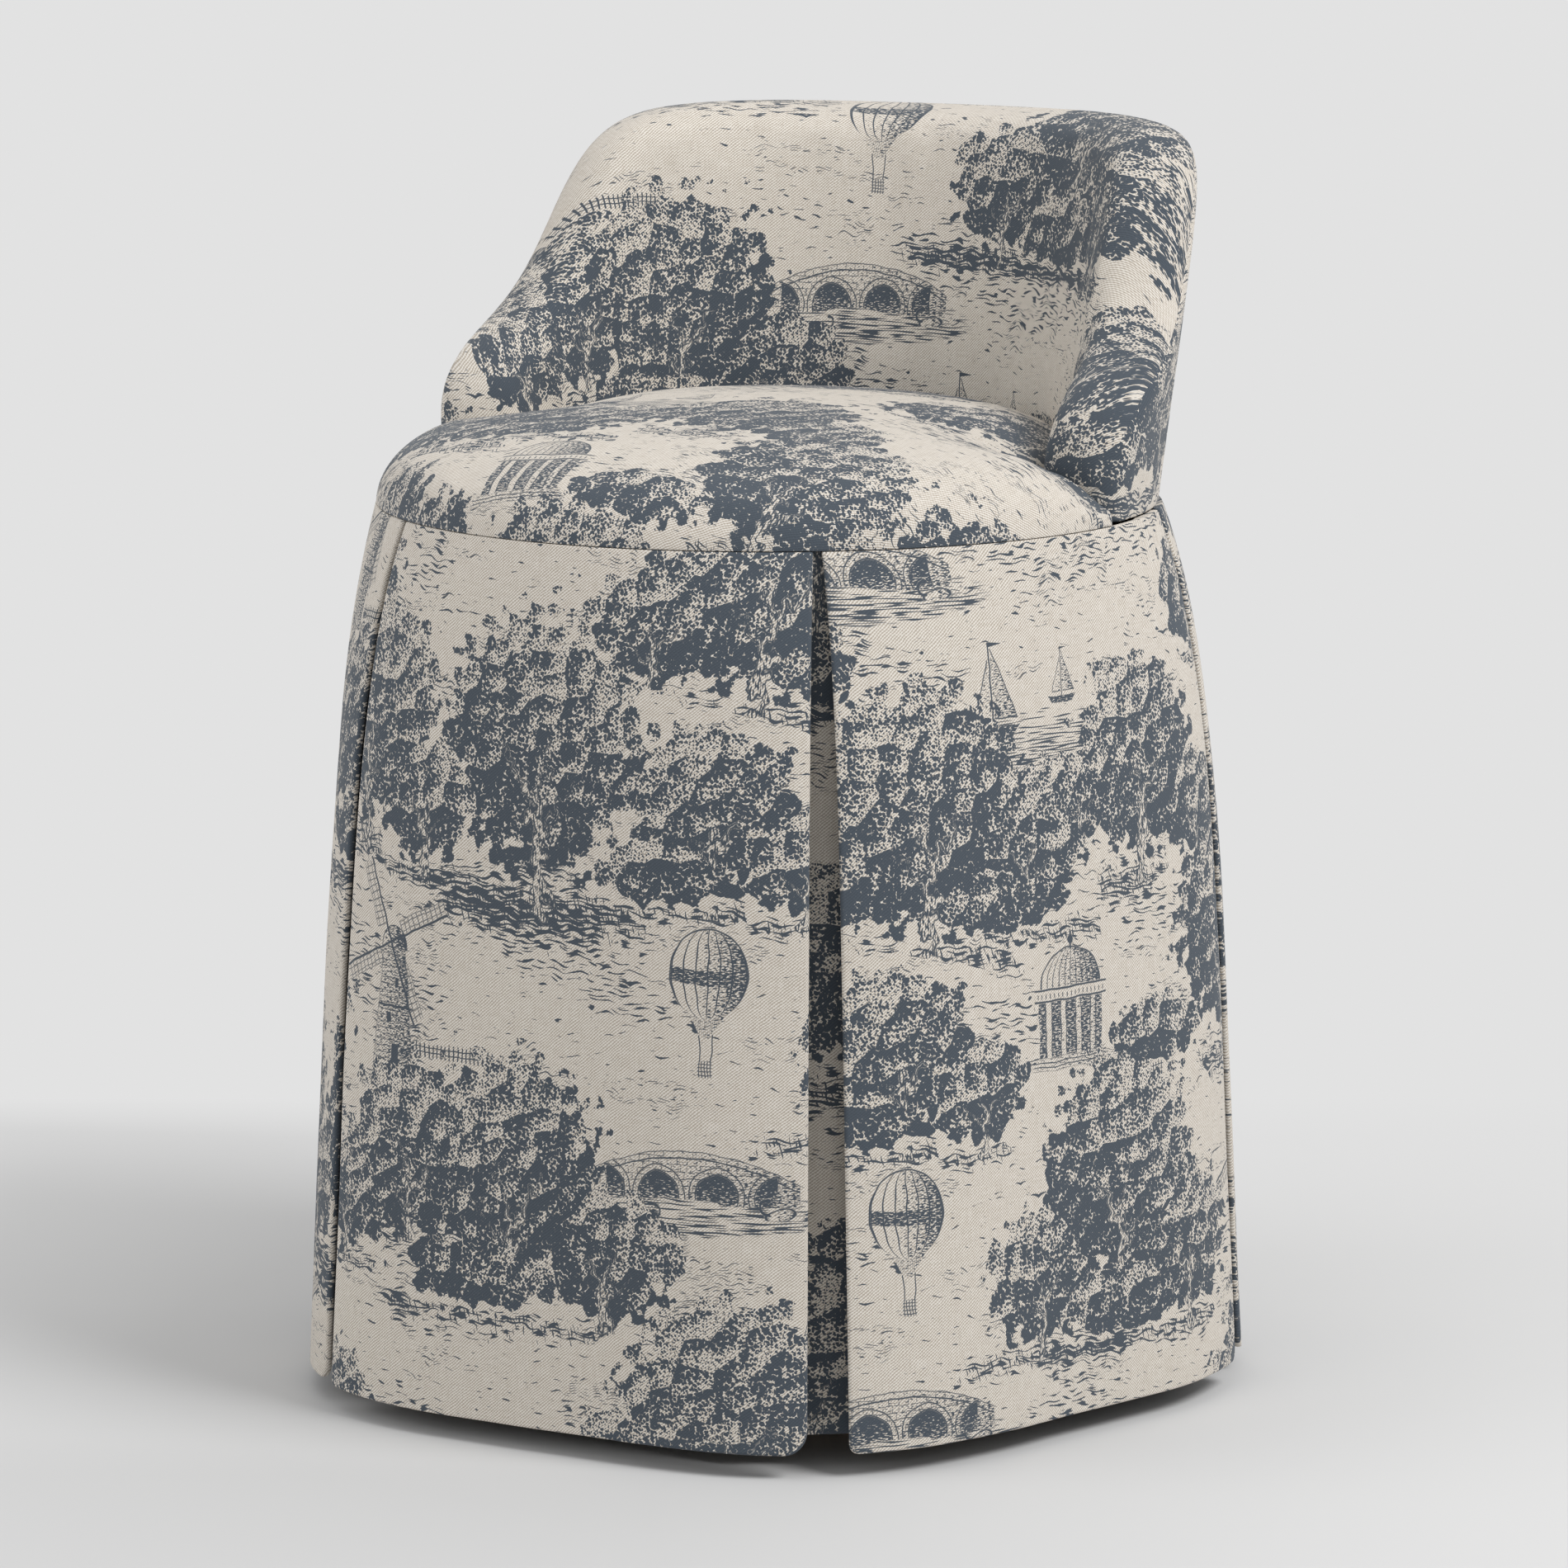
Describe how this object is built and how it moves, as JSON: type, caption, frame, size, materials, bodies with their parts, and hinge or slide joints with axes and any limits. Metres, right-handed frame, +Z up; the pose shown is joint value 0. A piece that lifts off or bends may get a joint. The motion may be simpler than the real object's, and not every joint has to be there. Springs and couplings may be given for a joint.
{
  "type": "vanity chair",
  "caption": "Round upholstered vanity chair with a low barrel back sloping into short arms and a floor-length skirt with inverted pleats over hidden wooden legs.",
  "frame": {"origin": "on the floor, under the middle of the chair's outline seen from above", "axes": "+Z up, the sitter looks along -Y, +X to the right of someone who faces the chair's front"},
  "size_m": [0.4878, 0.4782, 0.646],
  "materials": {
    "print_cloth": "matt linen twill, printed",
    "beech": "planed, unfinished",
    "plywood": "bare",
    "foam": "open cell",
    "wadding": "fluffy",
    "jute": "coarse weave",
    "cambric": "matt non-woven",
    "nylon": "satin",
    "steel": "zinc plated"
  },
  "bodies": {
    "root": {"leg_front_left": "beech", "leg_front_right": "beech", "leg_rear_left": "beech", "leg_rear_right": "beech", "leg_glides": "nylon", "leg_bolts": "steel", "leg_nuts": "steel", "seat_rail_front_left": "beech", "seat_rail_front_right": "beech", "seat_rail_rear_left": "beech", "seat_rail_rear_right": "beech", "rail_dowels": "beech", "webbing_lengthwise": "jute", "webbing_crosswise": "jute", "deck_cloth": "jute", "seat_foam": "foam", "seat_wadding": "wadding", "seat_cover": "print_cloth", "dust_cover": "cambric", "waist_tack_strip": "jute", "skirt_panel_front": "print_cloth", "skirt_panel_front_right": "print_cloth", "skirt_panel_rear_right": "print_cloth", "skirt_panel_rear_left": "print_cloth", "skirt_panel_front_left": "print_cloth", "pleat_underlay_front_right": "print_cloth", "pleat_underlay_right": "print_cloth", "pleat_underlay_rear": "print_cloth", "pleat_underlay_left": "print_cloth", "pleat_underlay_front_left": "print_cloth", "back_post_inner_left": "beech", "back_post_inner_right": "beech", "back_post_outer_left": "beech", "back_post_outer_right": "beech", "arm_post_left": "beech", "arm_post_right": "beech", "post_dowels": "beech", "back_rim": "beech", "back_shell": "plywood", "back_liner": "jute", "back_foam": "foam", "arm_front_pad_left": "foam", "arm_front_pad_right": "foam", "inner_back_cover": "print_cloth", "outer_back_cover": "print_cloth"}
  },
  "joints": []
}
